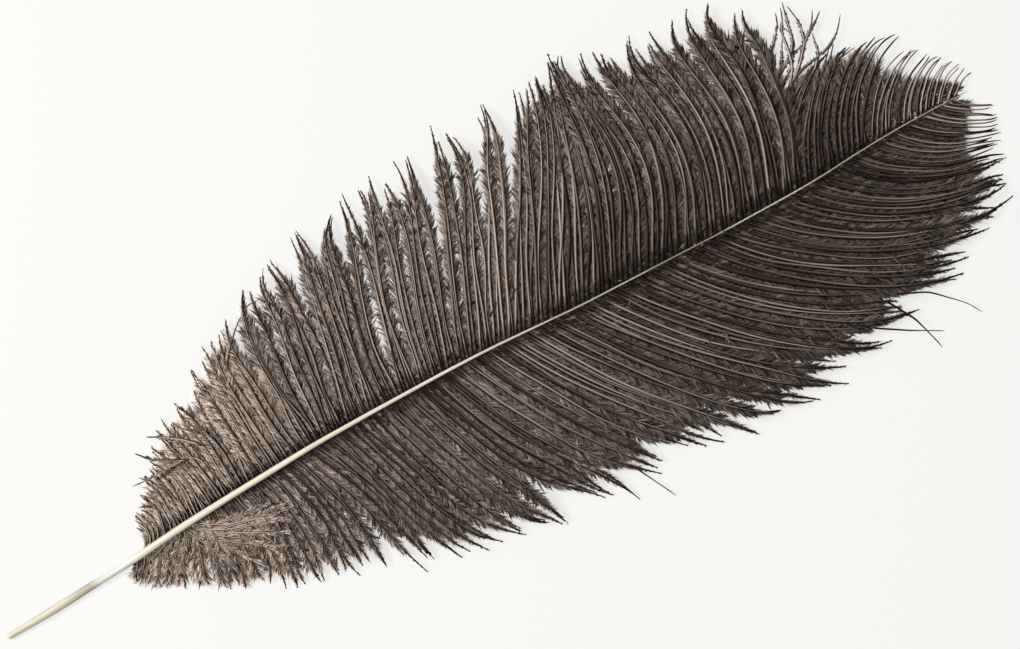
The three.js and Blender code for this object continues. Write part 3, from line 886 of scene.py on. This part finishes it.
def tones(points, seed):
    """How pale the down is at plan points, from 0 to 1: the table's tone along the feather, a little
    more on the left vane and again in that vane's outer part, painted shade that darkens the down towards
    the shaft and most in a band close to it, and mottling, each part of which is the product of a sine
    along x and one along y whose phases waver."""
    x, y = points[..., 0], points[..., 1]
    left = y - shaft_y(x)
    off = np.abs(left) - read_table(SHAFT_WIDTH, x) / 2
    pale = read_table(DOWN_TONES, x)
    pale = pale + np.where(left > 0, LEFT_EXTRA, 0.0) * rise(x, 90, 150)
    # Painted shade where the down meets the shaft: darker towards it, darkest in the band beside it.
    shade_band = read_table(SHAFT_SHADE_BANDS, x)
    pale = pale * (0.12 + 0.58 * rise(off, shade_band * 0.25, shade_band * 1.25) + 0.3 * rise(off, 0.5, 8.5))
    pale = pale + LEFT_OUTER_EXTRA * rise(left, 15, 45) * rise(x, 210, 270)
    rng = np.random.default_rng(seed)
    for size, share in MOTTLING:
        a, b, c, d = rng.uniform(0, 2 * np.pi, 4)
        along_x = np.sin(x / size * 2 + a + np.sin(y / size + b))
        along_y = np.sin(y / size * 2 + c + np.sin(x / size + d))
        pale = pale + share * along_x * along_y
    return np.clip(pale, LEAST_TONE, MOST_TONE)


def barbules(vane, settings, layer):
    """The barbules of one layer of a vane's down, as their points (barbule, point, xyz) and their tones.
    A barbule leaves its stem at an acute angle, rolled round it by chance, and bends forward and down
    with the square of its length. Those on one side of a short stretch of a barb lean alike. They are
    shorter near the shaft and towards the barb's end, and few grow past the down's end."""
    ways, roots, cut = barb_ways(vane, settings.spacing)
    rng = np.random.default_rng(vane["seed"] + layer["seed"])

    # Where they grow: on which barb, and how far along it.
    lengths = np.linalg.norm(np.diff(ways, axis=1), axis=2).sum(1)
    counts = (lengths * settings.down_density / layer["pitch"]).astype(int)
    barb = np.repeat(np.arange(len(roots)), counts)
    t = rng.uniform(0.0, 1.0, len(barb))
    t = np.where(rng.uniform(0, 1, len(barb)) < layer["extra"], t * BARB_FOOT / lengths[barb], t)
    distance = t * lengths[barb]
    whole = t * cut[barb]  # the place along the barb before its end was cut
    down_end = trait(vane, "down_end", roots[barb])
    far = rise(whole / (down_end * layer["until"]), 0.93, 1.03)
    near = rise(distance, NEAR_SHAFT, 0)
    size = (1 - 0.35 * near) * (1 - 0.5 * rise(whole, 0.6, 0.98)) * (1 - 0.45 * far)
    size *= trait(vane, "down_length", roots[barb]) * (1 - 0.5 * rise(t, 0.86, 1))
    bare = 0.75 + 0.25 * rise(down_end, 0.86, 0.76)
    kept = rng.uniform(0, 1, len(barb)) < 1 - bare * far
    kept &= (distance > read_table(SHAFT_WIDTH, roots[barb]) * layer["begin"]) | ("lines" in vane)
    barb, t, near, far, size, whole = (values[kept] for values in (barb, t, near, far, size, whole))

    # How they stand: their angle, roll, length and bend.
    base, forward = along(ways, barb, t)
    total = len(barb)
    level = unit(np.cross([0.0, 0.0, 1.0], forward))
    above = np.cross(forward, level)
    side = rng.integers(0, 2, total)
    tuft = 2 * (distance[kept] / TUFT_LENGTH).astype(int) + side
    of_tuft = rng.normal(0, 1, (len(roots), tuft.max() + 1, 7))[barb, tuft].T
    leave = rng.normal(layer["leave"], 5, total) + of_tuft[0] * 10
    leave = np.radians(leave * (1 - 0.4 * rise(whole, 0.5, 0.9)) + 60 * near**2)
    roll = np.radians(rng.normal(0, 9, total) + layer["roll"] + of_tuft[1] * 10)
    sideways = level * ((2 * side - 1) * np.cos(roll))[:, None] + above * np.sin(roll)[:, None]
    out = forward * np.cos(leave)[:, None] + sideways * np.sin(leave)[:, None]
    reach = rng.uniform(0.65, 1.15, total) + of_tuft[2] * 0.1
    reach = settings.down_length * layer["length"] * size * reach
    curl = forward * 0.35 + rng.normal(0, 0.1, (total, 3)) + of_tuft[4:7].T * 0.13 - [0.0, 0.0, 0.12]

    # Their points, with the width across.
    half = POINT_PLACES[2]
    middle = base + reach[:, None] * (out * half + curl * half**2)
    end = base + reach[:, None] * (out + curl * 0.8)
    facing = unit(np.array([0.0, 0.0, 1.0]) + rng.normal(0, 0.4, (total, 3)))
    broad = layer["width"] / 2 * (0.6 + 0.4 * size) * (1 + 0.6 * rise(whole, 0.5, 0.8))
    wide = unit(np.cross(out, facing)) * broad[:, None]
    points = np.stack([base - wide, base + wide, middle - wide * 0.8, middle + wide * 0.8, end], 1)

    # Their tones, which vary from barb to barb and from barbule to barbule, and from side to side as
    # painted light and shade: the down on one side of each barb is paler and on the other darker.
    outer = 1 + 0.12 * rise(whole, 0.4, 0.85)
    tone = tones(base, vane["seed"] + 7) * layer["tone"] * vane["pale"] * outer
    # Painted light and shade: one side of each barb's down is paler, the other darker.
    tone *= (1 + rng.normal(0, 0.13, len(roots)))[barb] * np.where(side == 1, 1.14, 0.86)
    tone = tone * (1 - 0.35 * far + of_tuft[3] * 0.15) + rng.normal(0, 0.04, total) + of_tuft[3] * 0.05
    return points, np.clip(tone, LEAST_TONE, MOST_TONE)


def make_down(name, vane, settings):
    """The down of a vane, layer by layer: curved barbules are one quad and one triangle, straight ones
    one triangle. The map's U is the tone and its V the place along the barbule. A layer with more
    triangles than a piece may have is made as several."""
    material = kept_material(down_material, "down", settings)
    for key, layer in DOWN_LAYERS.items():
        points, tone = barbules(vane, settings, layer)
        picked, pattern, faces = layer["picked"], np.array(layer["pattern"]), layer["faces"]
        points = points[:, picked]
        u = tone[:, None] + POINT_SIDES[picked] * SIDE_STEP
        uv = np.stack([u, np.broadcast_to(POINT_PLACES[picked], u.shape)], -1)
        parts = 1 + len(tone) * (sum(faces) - 2 * len(faces)) // MOST_TRIANGLES
        for part, chosen in enumerate(np.array_split(np.arange(len(tone)), parts), 1):
            corners = (np.arange(len(chosen))[:, None] * len(picked) + pattern).reshape(-1)
            new_piece(
                f"{name}_{key}_down_{part}", points[chosen].reshape(-1, 3), corners,
                np.tile(faces, len(chosen)), uv[chosen][:, pattern].reshape(-1, 2), material,
            )


# ------------------------------------------------------------------ stage

VIEW_WIDTH, VIEW_HEIGHT = 1020, 649  # of the camera's view, in pixels
QUILL_PIXEL = (8.0, 636.0)  # where the quill's end shows, from the view's upper left corner
TILT = np.radians(29.109)  # how far the shaft points above the level in the view
PIXEL = 0.45 * MM  # what a pixel covers on the table
SENSOR = 36.0
FARTHEST_SEEN = 20  # from the camera, in metres
LAMP_SIZE = 0.7
LAMP_PLACE = (-1.0, 0.8, 1.4)
LAMP_TURN = (-30, -36, 0)  # in degrees
TABLE_HALF = 4.0
TABLE_DROP = 0.0001  # how far the table top lies under the plume, in metres


def set_camera(settings):
    """A camera that looks straight down, turned so that the shaft runs up to the right."""
    right = np.array([np.cos(TILT), -np.sin(TILT), 0])
    up = np.array([np.sin(TILT), np.cos(TILT), 0])
    across = VIEW_WIDTH / 2 - QUILL_PIXEL[0]
    height = QUILL_PIXEL[1] - VIEW_HEIGHT / 2
    data = bpy.data.cameras.new("camera")
    camera = bpy.data.objects.new("camera", data)
    camera.location = PLAN_ORIGIN + (right * across + up * height) * PIXEL + [0, 0, settings.distance]
    camera.rotation_euler = (0, 0, -TILT)
    data.sensor_width = SENSOR
    data.lens = SENSOR * settings.distance / (VIEW_WIDTH * PIXEL)
    data.clip_end = FARTHEST_SEEN
    bpy.context.scene.collection.objects.link(camera)
    bpy.context.scene.camera = camera


def set_lights(settings):
    """Even light from all round, and one large soft lamp above the left vane."""
    world = bpy.data.worlds.new("studio")
    world.use_nodes = True
    world.node_tree.nodes["Background"].inputs["Color"].default_value = (1, 1, 1, 1)
    world.node_tree.nodes["Background"].inputs["Strength"].default_value = settings.sky
    bpy.context.scene.world = world
    data = bpy.data.lights.new("soft_lamp", "AREA")
    data.size = LAMP_SIZE
    data.energy = settings.lamp
    lamp = bpy.data.objects.new("soft_lamp", data)
    lamp.location = LAMP_PLACE
    lamp.rotation_euler = np.radians(LAMP_TURN)
    bpy.context.scene.collection.objects.link(lamp)


def set_floor(settings):
    """A wide level table top just under the plume."""
    corners = np.array([(-1, -1), (1, -1), (1, 1), (-1, 1)]) * TABLE_HALF
    corners = np.insert(corners, 2, -TABLE_DROP, axis=1)
    mesh = bpy.data.meshes.new("table_top")
    mesh.from_pydata(corners.tolist(), [], [(0, 1, 2, 3)])
    mesh.materials.append(floor_material(settings))
    floor = bpy.data.objects.new("table_top", mesh)
    bpy.context.scene.collection.objects.link(floor)


# ------------------------------------------------------------------ operators


class PLUME_OT_shaft(bpy.types.Operator):
    """Make the quill and shaft"""

    bl_idname = "plume.shaft"
    bl_label = "Shaft"

    def execute(self, context):
        make_shaft(context.scene.plume_shaft)
        return {"FINISHED"}


class PLUME_OT_barbs(bpy.types.Operator):
    """Make the stems of the barbs on every vane"""

    bl_idname = "plume.barbs"
    bl_label = "Barbs"

    def execute(self, context):
        for name, vane in VANES.items():
            make_barbs(name, vane, context.scene.plume_vanes)
        return {"FINISHED"}


class PLUME_OT_down(bpy.types.Operator):
    """Make the down on every vane"""

    bl_idname = "plume.down"
    bl_label = "Down"

    def execute(self, context):
        for name, vane in VANES.items():
            make_down(name, vane, context.scene.plume_vanes)
        return {"FINISHED"}


class PLUME_OT_stage(bpy.types.Operator):
    """Set the table top, the lamps and the camera"""

    bl_idname = "plume.stage"
    bl_label = "Stage"

    def execute(self, context):
        settings = context.scene.plume_stage
        set_camera(settings)
        set_lights(settings)
        set_floor(settings)
        context.scene.view_settings.view_transform = "Standard"
        return {"FINISHED"}


class PLUME_PT_panel(bpy.types.Panel):
    """The plume's makers and settings"""

    bl_label = "Ostrich plume"
    bl_space_type = "VIEW_3D"
    bl_region_type = "UI"
    bl_category = "Plume"

    def draw(self, context):
        for operators, settings in (
            ((PLUME_OT_shaft,), context.scene.plume_shaft),
            ((PLUME_OT_barbs, PLUME_OT_down), context.scene.plume_vanes),
            ((PLUME_OT_stage,), context.scene.plume_stage),
        ):
            box = self.layout.box()
            for operator in operators:
                box.operator(operator.bl_idname)
            for key in settings.__annotations__:
                box.prop(settings, key)


SETTINGS = {
    "plume_shaft": PlumeShaftSettings,
    "plume_vanes": PlumeVaneSettings,
    "plume_stage": PlumeStageSettings,
}
OPERATORS = (PLUME_OT_stage, PLUME_OT_shaft, PLUME_OT_barbs, PLUME_OT_down)


def register():
    for name, group in SETTINGS.items():
        bpy.utils.register_class(group)
        setattr(bpy.types.Scene, name, bpy.props.PointerProperty(type=group))
    for operator in OPERATORS:
        bpy.utils.register_class(operator)
    bpy.utils.register_class(PLUME_PT_panel)


def unregister():
    bpy.utils.unregister_class(PLUME_PT_panel)
    for operator in reversed(OPERATORS):
        bpy.utils.unregister_class(operator)
    for name, group in reversed(SETTINGS.items()):
        delattr(bpy.types.Scene, name)
        bpy.utils.unregister_class(group)


def main():
    register()
    for operator in OPERATORS:
        group, name = operator.bl_idname.split(".")
        getattr(getattr(bpy.ops, group), name)()


if __name__ == "__main__":
    main()
